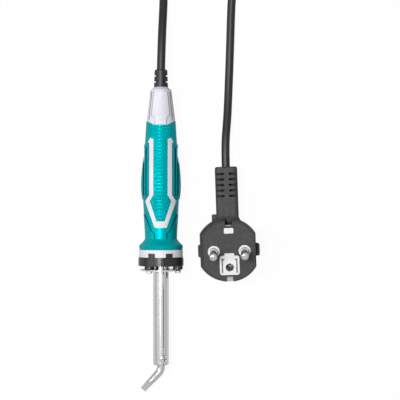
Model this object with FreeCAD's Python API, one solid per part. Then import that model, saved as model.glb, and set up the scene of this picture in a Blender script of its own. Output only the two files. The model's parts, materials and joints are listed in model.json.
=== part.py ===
import FreeCAD, Part
import math
import os

Vector = FreeCAD.Vector
Y_AXIS = Vector(0, 1, 0)
Z_AXIS = Vector(0, 0, 1)

# Soldering iron lying on a table: +Z up, the iron's axis along Y, the tip
# towards -Y, the cord towards +Y. Millimetres. Stations along the iron run
# from the joint between the heat shield and the handle.

# --- handle ---------------------------------------------------------------
COLLAR_LENGTH = 4.6
COLLAR_RADIUS = 13.6
LIP_RADIUS = 13.2
FLARE_RADIUS = 13.7
FLARE_LENGTH = 6.8
FLARE_CREST = 1.9
FLARE_RIDGE = 2.95
FLARE_RIDGE_DROP = 0.4
FLARE_HOLLOW = 0.2
WAIST_RADIUS = 9.95
LOBE_LENGTH = 15.8
LOBE_RADIUS = 10.95
LOBE_STEP = 0.3
LOBE_HOLLOW = 0.12
BULGE_START = 36.0
BULGE_START_RADIUS = 11.2
BULGE_PEAK = 42.9
BULGE_RADIUS = 11.9
BULGE_SHOULDER = 60.4
SHOULDER_RADIUS = 10.75
BULGE_END = 70.0
BULGE_END_RADIUS = 10.0
GRIP_END = 86.5
GRIP_END_RADIUS = 9.0
GRIP_WALL = 1.5
CORE_WALL = 2.0
CORE_FLANGE_RADIUS = 12.6
CORE_FLANGE_END = 7.2

# --- raised side panels and grooves of the grip -----------------------------
PANEL_STEP = 0.5
PANEL_GAP = 0.3
GROOVE_WIDTH = 0.7
GROOVE_DEPTH = 0.6
GROOVE_INNER = 8.7
GROOVE_OUTER = 10.3
GROOVE_MARGIN = 2.0
LOBE_LINE_WIDTH = 0.7
LOBE_LINE_DEPTH = 0.7
LOBE_LINE_TOP = 0.3
LOBE_LINE_REACH = 2.4
LOBE_LINE_DROP = 1.9
LOBE_LINE_JOG = 1.9

# --- outline stripe, the core showing through the grip ----------------------
STRIPE_WIDTH = 2.7
STRIPE_RISE = 0.25
STRIPE_OUT = 7.1
STRIPE_TOP = 74.0
STRIPE_TOP_SLOPE = 1.0
HOOK_REACH = 0.85
HOOK_DROP = 2.7
HOOK_RISE = 0.7
HOOK_CHAMFER = 0.65
KNEE_OUT = 9.7
KNEE_STATION = 34.8
KNEE_RISE = 3.8
KNEE_INNER = 6.65
BAR_HALF = 3.65
BAR_INNER = 2.57
BAR_STATION = 18.3
BAR_HEIGHT = 4.0

# --- rear cap ---------------------------------------------------------------
CAP_END = 105.7
CAP_EDGE = 84.4
CAP_DIP = 2.4
CAP_DIP_HALF = 4.2
CAP_EDGE_RADIUS = 8.9
CAP_TOP_RADIUS = 6.5
CAP_RIM_RADIUS = 4.3
CAP_CHAMFER_LENGTH = 1.9
CAP_WALL = 1.8
CAP_END_WALL = 3.0
CAP_PANEL_STEP = 0.5
CAP_PANEL_TOP = 102.5
CAP_PANEL_STATION = 88.1
CAP_PANEL_TOP_HALF = 3.95
CAP_PANEL_HALF = 5.5
CAP_PANEL_NECK = 3.4
CAP_PANEL_JOG = 1.8
CAP_LINE_WIDTH = 0.55
CAP_LINE_DEPTH = 0.6
CAP_SIDE_LINE_TOP = 5.3
CAP_SIDE_LINE_LOW = 6.9

# --- cord and strain relief of the handle -----------------------------------
CORD_RADIUS = 2.6
CORD_FIT = 0.05
RELIEF_RADIUS = 4.4
RELIEF_END_RADIUS = 4.0
RELIEF_LENGTH = 10.9
RELIEF_NECK_RADIUS = 3.4
RELIEF_FLANGE_RADIUS = 4.5
RELIEF_FLANGE_LENGTH = 2.0
RELIEF_SLOTS = 2
RELIEF_SLOT_PITCH = 3.75
RELIEF_SLOT_WIDTH = 1.0
RELIEF_SPINE = 2.4
RELIEF_BEVEL = 0.6
RELIEF_SLEEVE_WALL = 0.45

# --- heat shield -------------------------------------------------------------
SHIELD_RADIUS = 14.1
SHIELD_LENGTH = 5.5
SHIELD_BORE = 7.0
SHIELD_LIP = 0.8
SHIELD_BEVEL = 0.3
RECESS_WIDTH = 2.4
RECESS_DEPTH = 0.9
RECESS_ANGLE = 13.5
SPIGOT_RADIUS = 9.0
SPIGOT_LENGTH = 3.0
SPIGOT_FIT = 0.05
SCREW_COUNT = 3
SCREW_CIRCLE = 10.65
SCREW_START_ANGLE = -40.0
BOSS_RADIUS = 3.1
BOSS_HEIGHT = 2.0
KEY_ANGLE = 24.0
KEY_WIDTH = 4.4
KEY_LENGTH = 2.4
KEY_DEPTH = 1.3
KEY_FIT = 0.1

# --- flange plate and its screws -----------------------------------------------
PLATE_RADIUS = 12.9
PLATE_THICKNESS = 1.1
PLATE_BEVEL = 0.25
SCREW_RADIUS = 1.45
SCREW_HOLE_FIT = 0.15
SCREW_HEAD_RADIUS = 1.9
SCREW_HEAD_HEIGHT = 1.3
SCREW_DEPTH = 6.0
SCREW_HOLE_DEPTH = 6.6
TAG_ANGLE = 140.0
TAG_WIDTH = 3.0
TAG_THICKNESS = 0.6
TAG_RADIUS = 5.7
TAG_LENGTH = 6.0

# --- barrel -------------------------------------------------------------------
BARREL_RADIUS = 4.9
BARREL_WALL = 0.5
BARREL_LENGTH = 58.7
BARREL_CURL = 1.0
BARREL_FIT = 0.05
BARREL_TAIL = 1.5
BARREL_FLANGE_RADIUS = 5.5
BARREL_FLANGE_THICKNESS = 0.5
SEAM_WIDTH = 0.5
SEAM_ANGLE = 19.0

# --- tip, its holder and its set screw --------------------------------------------
TIP_RADIUS = 2.45
TIP_FIT = 0.05
TIP_INSERTION = 45.0
TIP_BEND_STATION = 3.3
TIP_BEND_RADIUS = 6.0
TIP_BEND_ANGLE = 43.0
TIP_ARM_LENGTH = 16.4
TIP_END_RADIUS = 1.85
TIP_FACET_LENGTH = 8.2
TIP_EDGE_THICKNESS = 0.8
HOLDER_LENGTH = 8.0
SET_SCREW_STATION = 4.3
SET_SCREW_RADIUS = 1.5
SET_SCREW_HEAD_RADIUS = 2.3
SET_SCREW_HEAD_HEIGHT = 1.7
SET_SCREW_FIT = 0.03
SET_SCREW_PASSAGE = 0.1

# --- heater --------------------------------------------------------------------
HEATER_CLEARANCE = 0.3
HEATER_LENGTH = 39.0
HEATER_WALL = 0.4
HEATER_END_THICKNESS = 1.2
HEATER_FIT = 0.1
HEATER_GAP = 0.5
WINDING_THICKNESS = 0.5
WINDING_TURNS = 12
MICA_THICKNESS = 0.35
BUSH_LENGTH = 7.8
LEAD_RADIUS = 0.8
LEAD_SPACING = 1.8

# --- terminals and cord clamp ---------------------------------------------------
BLOCK_STATION = 37.0
BLOCK_LENGTH = 12.0
BLOCK_WIDTH = 12.0
BLOCK_HEIGHT = 8.0
TERMINALS = 3
TERMINAL_PITCH = 4.0
TERMINAL_RADIUS = 1.6
TERMINAL_BORE = 0.9
TERMINAL_WIRE_DEPTH = 4.0
TERMINAL_SCREW_RADIUS = 0.9
TERMINAL_SCREW_INSET = 2.6
TERMINAL_SCREW_HEIGHT = 3.5
TERMINAL_WELL_MARGIN = 0.4
BLOCK_CHAMFER = 0.8
CLAMP_STATION = 62.0
CLAMP_LENGTH = 6.0
CLAMP_WIDTH = 9.0
CLAMP_TOP = 4.0
CLAMP_GAP = 1.1
CLAMP_SCREW_RADIUS = 0.7
CLAMP_SCREW_HEAD_RADIUS = 1.2
CLAMP_SCREW_HEAD_HEIGHT = 0.8
CLAMP_SCREW_OFFSET = 3.55
CLAMP_SCREW_DEPTH = 4.5
SADDLE_OVERHANG = 0.5
SHEATH_END = 57.5
CORE_SPACING = 1.56
CORE_RISE = 0.32
CORE_DROP = 0.64

# --- plug -----------------------------------------------------------------------
PLUG_PLACE = Vector(42.3, -12.6, 0)
PLUG_YAW = 2.0
PLUG_TILT = 8.2
PLUG_ROLL = -1.8
PLUG_FACE_HEIGHT = 24.5
FACE_RADIUS = 19.2
FACE_HALF_WIDTH = 16.5
FACE_BEVEL = 0.8
FACE_STEP = 7.0
HOOD_MARGIN = 0.7
HOOD_SHIFT = Vector(-0.7, 0.9, 0)
HOOD_EDGE = 3.0
LUG_REACH = 2.0
LUG_LENGTH = 7.8
LUG_STATION = 0.4
LUG_HEIGHT = 10.0
LUG_BOTTOM = 5.0
LUG_CORNER = 1.2
NECK_START = 6.0
NECK_START_WIDTH = 28.0
NECK_START_HEIGHT = 17.5
SHOULDER_REACH = 9.9
SHOULDER_END = 23.0
SHOULDER_LOW = 3.0
SHOULDER_TOP = 13.0
SHOULDER_CORNER = 1.0
GUARD_STATION = 21.0
GUARD_END = 52.5
GUARD_WIDTH = 14.0
GUARD_HEIGHT = 9.6
GUARD_AXIS_HEIGHT = 9.6
GUARD_CORNER = 2.6
GUARD_SLOTS = 5
GUARD_SLOT_START = 33.5
GUARD_SLOT_PITCH = 3.45
GUARD_SLOT_WIDTH = 1.4
GUARD_SPINE = 2.9
GUARD_SLEEVE_WALL = 0.8
GUARD_CHAMFER = 0.8
GUARD_WEB = 2.4
PIN_SPACING = 19.0
PIN_RADIUS = 2.4
PIN_LENGTH = 19.0
PIN_ROOT = 10.0
PIN_ROOT_RADIUS = 2.0
PIN_COLLAR_RADIUS = 3.7
EARTH_OFFSET = 10.0
EARTH_BORE = 2.45
EARTH_WALL = 0.5
EARTH_DEPTH = 14.0
EARTH_RECESS = 1.5
EARTH_MOUTH_FIT = 0.1
INSERT_WIDTH = 12.2
INSERT_TOP = -2.6
INSERT_BOTTOM = -14.7
INSERT_CORNER = 1.6
INSERT_TONGUE_WIDTH = 6.0
INSERT_TONGUE_TOP = -1.15
INSERT_DEPTH = 16.0
INSERT_GROOVE_OFFSET = 4.1
INSERT_GROOVE_WIDTH = 0.8
INSERT_GROOVE_LENGTH = 8.0
INSERT_GROOVE_DROP = 3.4
INSERT_GROOVE_DEPTH = 1.5
CARRIER_WIDTH = 27.0
CARRIER_HEIGHT = 10.0
CARRIER_TOP = -4.0
CARRIER_DEPTH = 7.0
TOP_PAD_WIDTH = 5.8
TOP_PAD_LOW = 11.2
TOP_PAD_HIGH = 14.6
PAD_CORNER = 0.6
CONTACT_WIDTH = 4.2
CONTACT_THICKNESS = 0.8
CONTACT_FOLD = 2.9
CONTACT_DEPTH = 9.0
CONTACT_RECESS = 3.6
CONTACT_FIT = 0.1
CONTACT_SINK = 0.4

# --- free cord ---------------------------------------------------------------------
COIL_CENTRE = Vector(22.7, 203.0, 0)
COIL_MIDDLE_RADIUS = 30.6
COIL_LAYER_TURNS = 3.3
COIL_LAYER_HEIGHT = 5.25
CORD_LIE = CORD_RADIUS + 0.05
TIE_WIDTH = 5.0
TIE_THICKNESS = 0.7
TIE_ANGLE = 90.0
IRON_SIDE_ROUTE = [
    (0.3, 13.0, 14.1),
    (0.9, 29.0, 11.4),
    (1.6, 47.5, 5.4),
    (0.6, 64.0, 2.75),
    (-4.3, 78.5, 2.65),
]
COIL_ENTRY_ANGLE = 200.0
COIL_EXIT_ANGLE = -20.0
PLUG_SIDE_ROUTE = [
    (53.9, 175.4, 7.0),
    (47.6, 163.0, 4.2),
    (44.4, 149.5, 2.75),
    (43.7, 130.5, 2.65),
    (43.1, 109.5, 2.65),
    (42.3, 88.5, 2.8),
    (41.5, 70.5, 5.6),
]
GUARD_RUN = 14.0
REACH = 25.0


# --- helpers ------------------------------------------------------------------------
def flat_face(points):
    """Face bounded by straight lines through the points."""
    corners = [Vector(*point) for point in points]
    return Part.Face(Part.makePolygon(corners + [corners[0]]))


def prism(outline):
    """Outline in the XY plane, extruded through the whole iron."""
    face = flat_face([(x, y, -REACH) for x, y in outline])
    return face.extrude(Vector(0, 0, 2 * REACH))


def turned(profile):
    """Solid turned about the iron's axis from (station, radius) points."""
    face = flat_face([(radius, station, 0) for station, radius in profile])
    return face.revolve(Vector(0, 0, 0), Y_AXIS, 360)


def ring(start, end, inner, outer):
    """Plain tube on the iron's axis between two stations."""
    return turned([(start, inner), (start, outer), (end, outer), (end, inner)])


def rod(start, end, radius, x=0.0, z=0.0):
    """Round rod parallel to the iron's axis."""
    return Part.makeCylinder(radius, end - start, Vector(x, start, z), Y_AXIS)


def box(x_range, y_range, z_range):
    """Box between two limits on each axis."""
    corner = Vector(x_range[0], y_range[0], z_range[0])
    sizes = [limits[1] - limits[0] for limits in (x_range, y_range, z_range)]
    return Part.makeBox(*sizes, corner)


def about_axis(shape, angle):
    """Copy turned about the iron's axis, from the top towards +X."""
    return shape.rotated(Vector(0, 0, 0), Y_AXIS, angle)


def mirrored_half(outline):
    """Outline symmetric about X = 0, from its half at positive X."""
    return outline + [(-x, y) for x, y in reversed(outline)]


def both_sides(outline):
    """Two prisms, the outline and its mirror image in X = 0."""
    right = prism(outline)
    return [right, right.mirror(Vector(0, 0, 0), Vector(1, 0, 0))]


def fused(shapes):
    """All shapes as one solid without seams between coplanar faces."""
    whole = shapes[0].multiFuse(shapes[1:])
    return whole.removeSplitter()


def cross_recess(depth, span, thickness, top):
    """Cross cut into a screw head whose axis is +Z and whose top is at top."""
    half = span / 2
    edge = thickness / 2
    first = box((-half, half), (-edge, edge), (top - depth, top + 1))
    return [first, first.rotated(Vector(0, 0, 0), Z_AXIS, 90)]


def pan_head(radius, height, shank_radius, shank_length):
    """Pan-head screw along +Z with the head's seat at z = 0."""
    head = Part.makeCylinder(radius, height)
    rim = [edge for edge in head.Edges if edge.BoundBox.ZMin > height / 2]
    head = head.makeFillet(min(0.45 * height, 0.4 * radius), rim)
    head = head.cut(Part.makeCompound(cross_recess(0.55 * height, 1.3 * radius, 0.3 * radius, height)))
    shank = Part.makeCylinder(shank_radius, shank_length, Vector(0, 0, -shank_length))
    return head.fuse(shank).removeSplitter()


def rounded_rectangle(width, height, corner, station, centre_height):
    """Closed wire in the plane Y = station."""
    half_width = width / 2
    half_height = height / 2
    diagonal = corner * (1 - math.sqrt(0.5))
    edges = []
    for turn, (side, rise) in enumerate([(half_width, half_height), (half_height, half_width)] * 2):
        straight_start = Vector(side, station, -rise + corner)
        straight_end = Vector(side, station, rise - corner)
        arc_middle = Vector(side - diagonal, station, rise - diagonal)
        arc_end = Vector(side - corner, station, rise)
        pieces = [
            Part.makeLine(straight_start, straight_end),
            Part.Arc(straight_end, arc_middle, arc_end).toShape(),
        ]
        for piece in pieces:
            piece.rotate(Vector(0, 0, 0), Y_AXIS, -90 * turn)
            piece.translate(Vector(0, 0, centre_height))
            edges.append(piece)
    return Part.Wire(edges)


def cord_tube(points, radius, name):
    """Round tube along straight runs joined by tangent arcs."""
    corners = [Vector(*point) for point in points]
    edges = []
    start = corners[0]
    length = 0.0
    radii = []
    for before, corner, after in zip(corners, corners[1:], corners[2:]):
        incoming = corner.sub(before)
        outgoing = after.sub(corner)
        turn = incoming.getAngle(outgoing)
        setback = 0.45 * min(incoming.Length, outgoing.Length)
        bend_radius = setback / math.tan(turn / 2)
        incoming.normalize()
        outgoing.normalize()
        arc_start = corner - incoming * setback
        arc_end = corner + outgoing * setback
        inward = outgoing - incoming
        inward.normalize()
        arc_middle = corner + inward * (bend_radius / math.cos(turn / 2) - bend_radius)
        edges.append(Part.LineSegment(start, arc_start).toShape())
        edges.append(Part.Arc(arc_start, arc_middle, arc_end).toShape())
        length += start.distanceToPoint(arc_start) + bend_radius * turn
        radii.append(round(bend_radius, 1))
        start = arc_end
    edges.append(Part.LineSegment(start, corners[-1]).toShape())
    length += start.distanceToPoint(corners[-1])
    direction = corners[1].sub(corners[0])
    section = Part.Wire(Part.makeCircle(radius, corners[0], direction))
    tube = Part.Wire(edges).makePipeShell([section], True, False)
    ratio = tube.Volume / (math.pi * radius ** 2 * length)
    print(name, "length", round(length, 1), "bend radii", radii, "volume ratio", round(ratio, 5))
    return tube


# --- shared stations ------------------------------------------------------------------
WAIST_STATION = COLLAR_LENGTH + FLARE_LENGTH
LOBE_END = WAIST_STATION + LOBE_LENGTH
RELIEF_END = CAP_END + RELIEF_LENGTH
BOSS_FACE = -SHIELD_LENGTH - BOSS_HEIGHT
PLATE_FRONT = BOSS_FACE - PLATE_THICKNESS
MOUTH = PLATE_FRONT - BARREL_LENGTH
BARREL_BORE = BARREL_RADIUS - BARREL_WALL
BARREL_START = BOSS_FACE + BARREL_FLANGE_THICKNESS + BARREL_TAIL
HOLDER_START = MOUTH + BARREL_CURL
HOLDER_END = HOLDER_START + HOLDER_LENGTH
HEATER_START = HOLDER_END + HEATER_GAP
HEATER_END = HEATER_START + HEATER_LENGTH
BUSH_START = HEATER_END + HEATER_GAP
BUSH_END = BUSH_START + BUSH_LENGTH
HEATER_BORE = TIP_RADIUS + HEATER_CLEARANCE
WINDING_INNER = HEATER_BORE + HEATER_WALL
SEAT_RADIUS = BARREL_BORE - HEATER_FIT
SET_SCREW_AT = MOUTH + SET_SCREW_STATION
AXIS_HEIGHT = SHIELD_RADIUS
BLOCK_END = BLOCK_STATION + BLOCK_LENGTH


# --- handle ---------------------------------------------------------------------------
def grip_envelope(offset, start, end):
    """Turned body inside the grip's outer surface moved out by offset."""
    points = {
        "lip": (COLLAR_LENGTH, LIP_RADIUS),
        "crest": (COLLAR_LENGTH + FLARE_CREST, FLARE_RADIUS),
        "ridge": (COLLAR_LENGTH + FLARE_RIDGE, FLARE_RADIUS - FLARE_RIDGE_DROP),
        "waist": (WAIST_STATION, WAIST_RADIUS),
        "lobe": (LOBE_END, LOBE_RADIUS),
        "step": (LOBE_END, LOBE_RADIUS - LOBE_STEP),
        "bulge": (BULGE_START, BULGE_START_RADIUS),
        "peak": (BULGE_PEAK, BULGE_RADIUS),
        "shoulder": (BULGE_SHOULDER, SHOULDER_RADIUS),
        "fall": (BULGE_END, BULGE_END_RADIUS),
        "end": (GRIP_END, GRIP_END_RADIUS),
    }
    at = {name: Vector(radius + offset, station, 0) for name, (station, radius) in points.items()}
    flare_bend = (at["ridge"] + at["waist"]) * 0.5 + Vector(-FLARE_HOLLOW, -FLARE_HOLLOW, 0)
    lobe_bend = (at["waist"] + at["lobe"]) * 0.5 + Vector(-LOBE_HOLLOW, 0, 0)
    bulge = Part.BSplineCurve()
    bulge.interpolate([at["bulge"], at["peak"], at["shoulder"], at["fall"]])
    axis_start = Vector(0, COLLAR_LENGTH, 0)
    axis_end = Vector(0, GRIP_END, 0)
    edges = [
        Part.makeLine(axis_start, at["lip"]),
        Part.makeLine(at["lip"], at["crest"]),
        Part.makeLine(at["crest"], at["ridge"]),
        Part.Arc(at["ridge"], flare_bend, at["waist"]).toShape(),
        Part.Arc(at["waist"], lobe_bend, at["lobe"]).toShape(),
        Part.makeLine(at["lobe"], at["step"]),
        Part.makeLine(at["step"], at["bulge"]),
        bulge.toShape(),
        Part.makeLine(at["fall"], at["end"]),
        Part.makeLine(at["end"], axis_end),
        Part.makeLine(axis_end, axis_start),
    ]
    body = Part.Face(Part.Wire(edges)).revolve(Vector(0, 0, 0), Y_AXIS, 360)
    if start > COLLAR_LENGTH or end < GRIP_END:
        body = body.common(rod(start, end, REACH))
    return body


def cap_envelope(offset):
    """Turned rear cap, run on below its edge to the depth of the dip."""
    slope = (CAP_TOP_RADIUS - CAP_EDGE_RADIUS) / (CAP_END - CAP_CHAMFER_LENGTH - CAP_EDGE)
    low = CAP_EDGE - CAP_DIP
    return turned([
        (low, 0),
        (low, CAP_EDGE_RADIUS - slope * CAP_DIP + offset),
        (CAP_END - CAP_CHAMFER_LENGTH, CAP_TOP_RADIUS + offset),
        (CAP_END, CAP_RIM_RADIUS),
        (CAP_END, 0),
    ])


def cap_region():
    """Everything behind the cap's dipped edge."""
    return prism(mirrored_half([
        (CAP_DIP_HALF, CAP_EDGE - CAP_DIP),
        (CAP_EDGE_RADIUS, CAP_EDGE),
        (REACH, CAP_EDGE),
        (REACH, CAP_END + 1),
    ]))


def cap_panel_region(margin):
    """Outline of the cap's middle panel, widened by a margin."""
    return prism(mirrored_half([
        (CAP_PANEL_NECK + margin, CAP_EDGE - CAP_DIP - 1),
        (CAP_PANEL_NECK + margin, CAP_PANEL_STATION - CAP_PANEL_JOG - margin),
        (CAP_PANEL_HALF + margin, CAP_PANEL_STATION),
        (CAP_PANEL_TOP_HALF + margin, CAP_PANEL_TOP + margin),
    ]))


def cap_panels():
    """Raised middle panels on the cap's top and underside."""
    return cap_envelope(CAP_PANEL_STEP).common(cap_panel_region(0))


def cap_lines():
    """Fine grooves round the cap's panels and along its sides."""
    skin = cap_envelope(CAP_PANEL_STEP).cut(cap_envelope(-CAP_LINE_DEPTH))
    outline = cap_panel_region(CAP_LINE_WIDTH).cut(cap_panel_region(0))
    line = [(CAP_SIDE_LINE_LOW, CAP_EDGE + 1), (CAP_SIDE_LINE_TOP, CAP_PANEL_TOP)]
    sides = both_sides(line + [(x + CAP_LINE_WIDTH, y) for x, y in reversed(line)])
    return [skin.common(outline)] + [skin.common(side) for side in sides]


def stripe_region():
    """Band that the outline stripe follows, seen from above."""
    inner = STRIPE_OUT - STRIPE_WIDTH
    outer_half = [
        (BAR_HALF, BAR_STATION),
        (KNEE_OUT, KNEE_STATION),
        (STRIPE_OUT, KNEE_STATION + KNEE_RISE),
        (STRIPE_OUT, STRIPE_TOP - HOOK_DROP - HOOK_RISE),
        (STRIPE_OUT + HOOK_REACH, STRIPE_TOP - HOOK_DROP),
        (STRIPE_OUT - HOOK_CHAMFER, STRIPE_TOP),
        (inner, STRIPE_TOP - STRIPE_TOP_SLOPE),
        (inner, KNEE_STATION + KNEE_RISE),
        (KNEE_INNER, KNEE_STATION),
        (BAR_INNER, BAR_STATION + BAR_HEIGHT),
    ]
    return prism(mirrored_half(outer_half))


def panel_regions():
    """Side panels outside the stripe, left and right."""
    edge = STRIPE_OUT + PANEL_GAP
    return both_sides([
        (edge, BULGE_END),
        (edge, KNEE_STATION + KNEE_RISE + PANEL_GAP),
        (KNEE_OUT, BULGE_START),
        (REACH, BULGE_START),
        (REACH, BULGE_END),
    ])


def groove_regions():
    """Two long grooves in each side panel and the line round the lower lobe."""
    regions = []
    for offset in (GROOVE_INNER, GROOVE_OUTER):
        regions += both_sides([
            (offset, BULGE_START + GROOVE_MARGIN),
            (offset + GROOVE_WIDTH, BULGE_START + GROOVE_MARGIN),
            (offset + GROOVE_WIDTH, BULGE_END - GROOVE_MARGIN),
            (offset, BULGE_END - GROOVE_MARGIN),
        ])
    elbow = BAR_HALF + LOBE_LINE_REACH
    line = [
        (LOBE_RADIUS - LOBE_LINE_TOP, LOBE_END),
        (elbow, BAR_STATION - LOBE_LINE_DROP),
        (elbow - LOBE_LINE_JOG, BAR_STATION - LOBE_LINE_DROP - LOBE_LINE_JOG),
        (elbow - LOBE_LINE_JOG, WAIST_STATION),
    ]
    regions += both_sides(line + [(x - LOBE_LINE_WIDTH, y) for x, y in reversed(line)])
    return regions


def bore():
    """Hollow of the handle, open at the front and closed by the cap's end."""
    wall = GRIP_WALL + CORE_WALL
    return turned([
        (-1, 0),
        (-1, WAIST_RADIUS - wall),
        (WAIST_STATION, WAIST_RADIUS - wall),
        (BULGE_START, BULGE_START_RADIUS - wall),
        (BULGE_PEAK, BULGE_RADIUS - wall),
        (BULGE_END, BULGE_END_RADIUS - wall),
        (CAP_EDGE, CAP_EDGE_RADIUS - wall),
        (CAP_END - CAP_END_WALL, CAP_TOP_RADIUS - CAP_WALL),
        (CAP_END - CAP_END_WALL, 0),
    ])


def screw_rods(start, end, radius):
    """Rods on the flange's screw circle."""
    rods = []
    for index in range(SCREW_COUNT):
        angle = SCREW_START_ANGLE + index * 360 / SCREW_COUNT
        rods.append(about_axis(rod(start, end, radius, 0, SCREW_CIRCLE), angle))
    return rods


def keys(width, start, end, outer):
    """Four keys between the heat shield and the collar."""
    inner = COLLAR_RADIUS - KEY_DEPTH
    half = width / 2
    blank = box((-half, half), (start, end), (inner - 1, REACH))
    blank = blank.common(ring(start, end, inner - (width - KEY_WIDTH) / 2, outer))
    angles = (KEY_ANGLE, -KEY_ANGLE, 180 + KEY_ANGLE, 180 - KEY_ANGLE)
    return [about_axis(blank, angle) for angle in angles]


def saddle(start, end, top):
    """Web across the lower part of the handle's bore."""
    blank = box((-REACH, REACH), (start, end), (-REACH, top))
    return blank.common(grip_envelope(-GRIP_WALL - CORE_WALL / 4, start, end))


def clamp_bed():
    """Saddle below the cord clamp, hollowed for the sheath and drilled for the screws."""
    web = saddle(CLAMP_STATION - SADDLE_OVERHANG, CLAMP_STATION + CLAMP_LENGTH + SADDLE_OVERHANG, -CLAMP_GAP)
    web = web.cut(rod(CLAMP_STATION - 1, CLAMP_STATION + CLAMP_LENGTH + 1, CORD_RADIUS + CORD_FIT))
    middle = CLAMP_STATION + CLAMP_LENGTH / 2
    for side in (-1, 1):
        foot = Vector(side * CLAMP_SCREW_OFFSET, middle, -CLAMP_SCREW_DEPTH)
        web = web.cut(Part.makeCylinder(CLAMP_SCREW_RADIUS, REACH, foot))
    return web


def make_handle_core():
    collar = ring(0, COLLAR_LENGTH, 0, COLLAR_RADIUS)
    flange = ring(0, CORE_FLANGE_END, 0, CORE_FLANGE_RADIUS)
    shaft = grip_envelope(-GRIP_WALL, COLLAR_LENGTH, GRIP_END)
    ribs = grip_envelope(STRIPE_RISE, COLLAR_LENGTH, GRIP_END).common(stripe_region())
    cap = fused([cap_envelope(0), cap_panels()]).common(cap_region())
    core = fused([collar, flange, shaft, ribs, cap])
    core = core.cut(cap_lines()).cut(bore())
    core = core.cut(ring(-1, SPIGOT_LENGTH + SPIGOT_FIT, 0, SPIGOT_RADIUS + SPIGOT_FIT))
    core = core.cut(rod(CAP_END - CAP_END_WALL - 1, CAP_END + 1, RELIEF_NECK_RADIUS + CORD_FIT))
    block_web = saddle(BLOCK_STATION - 1, BLOCK_END + 1, -BLOCK_HEIGHT / 2)
    core = core.fuse(block_web).fuse(clamp_bed())
    notches = keys(KEY_WIDTH + 2 * KEY_FIT, -1, KEY_LENGTH + KEY_FIT, REACH)
    holes = screw_rods(-1, SCREW_HOLE_DEPTH, SCREW_RADIUS)
    return core.cut(notches + holes).removeSplitter()


def make_grip():
    body = grip_envelope(0, COLLAR_LENGTH, GRIP_END)
    panels = Part.makeCompound(panel_regions())
    raised = grip_envelope(PANEL_STEP, BULGE_START, BULGE_END).common(panels)
    grip = body.fuse(raised)
    skin = grip.cut(grip_envelope(PANEL_STEP - GROOVE_DEPTH, BULGE_START, BULGE_END))
    long_grooves = skin.common(Part.makeCompound(groove_regions()[:4]))
    lobe_skin = body.cut(grip_envelope(-LOBE_LINE_DEPTH, WAIST_STATION, LOBE_END))
    lobe_line = lobe_skin.common(Part.makeCompound(groove_regions()[4:]))
    lobe_line = lobe_line.common(rod(WAIST_STATION, LOBE_END, REACH))
    grip = grip.cut([long_grooves, lobe_line])
    grip = grip.cut(stripe_region()).cut(cap_region())
    grip = grip.cut(grip_envelope(-GRIP_WALL, COLLAR_LENGTH, GRIP_END))
    grip = grip.cut(ring(0, CORE_FLANGE_END, 0, CORE_FLANGE_RADIUS))
    return grip.removeSplitter()


def make_strain_relief():
    flange_start = CAP_END - CAP_END_WALL - RELIEF_FLANGE_LENGTH
    body = turned([
        (flange_start, 0),
        (flange_start, RELIEF_FLANGE_RADIUS),
        (CAP_END - CAP_END_WALL, RELIEF_FLANGE_RADIUS),
        (CAP_END - CAP_END_WALL, RELIEF_NECK_RADIUS),
        (CAP_END, RELIEF_NECK_RADIUS),
        (CAP_END, RELIEF_RADIUS),
        (RELIEF_END - RELIEF_BEVEL, RELIEF_END_RADIUS),
        (RELIEF_END, RELIEF_END_RADIUS - RELIEF_BEVEL),
        (RELIEF_END, 0),
    ])
    sleeve = rod(CAP_END, RELIEF_END, CORD_RADIUS + CORD_FIT + RELIEF_SLEEVE_WALL)
    for index in range(RELIEF_SLOTS):
        station = CAP_END + (index + 1) * RELIEF_SLOT_PITCH
        for side in (-1, 1):
            limits = sorted((side * RELIEF_SPINE / 2, side * REACH))
            slot = box(limits, (station - RELIEF_SLOT_WIDTH, station), (-REACH, REACH))
            body = body.cut(slot.cut(sleeve))
    return body.cut(rod(flange_start - 1, RELIEF_END + 1, CORD_RADIUS + CORD_FIT))


# --- heat shield, flange plate, barrel ------------------------------------------------------
def make_heat_shield():
    web = turned([
        (SPIGOT_LENGTH, SHIELD_BORE),
        (SPIGOT_LENGTH, SPIGOT_RADIUS),
        (0, SPIGOT_RADIUS),
        (0, SHIELD_RADIUS - SHIELD_BEVEL),
        (-SHIELD_LIP, SHIELD_RADIUS - SHIELD_BEVEL),
        (-SHIELD_LIP, SHIELD_RADIUS),
        (-SHIELD_LENGTH + SHIELD_BEVEL, SHIELD_RADIUS),
        (-SHIELD_LENGTH, SHIELD_RADIUS - SHIELD_BEVEL),
        (-SHIELD_LENGTH, SHIELD_BORE),
    ])
    bosses = screw_rods(BOSS_FACE, -SHIELD_LENGTH, BOSS_RADIUS)
    shield = fused([web] + bosses + keys(KEY_WIDTH, 0, KEY_LENGTH, COLLAR_RADIUS))
    recess = box((-REACH, REACH), (-SHIELD_LENGTH - 1, -SHIELD_LIP), (SHIELD_RADIUS - RECESS_DEPTH, REACH))
    recess = recess.common(box((-RECESS_WIDTH / 2, RECESS_WIDTH / 2), (-REACH, REACH), (-REACH, REACH)))
    holes = screw_rods(BOSS_FACE - 1, SPIGOT_LENGTH + 1, SCREW_RADIUS + SCREW_HOLE_FIT)
    return shield.cut(holes + [about_axis(recess, RECESS_ANGLE)])


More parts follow.
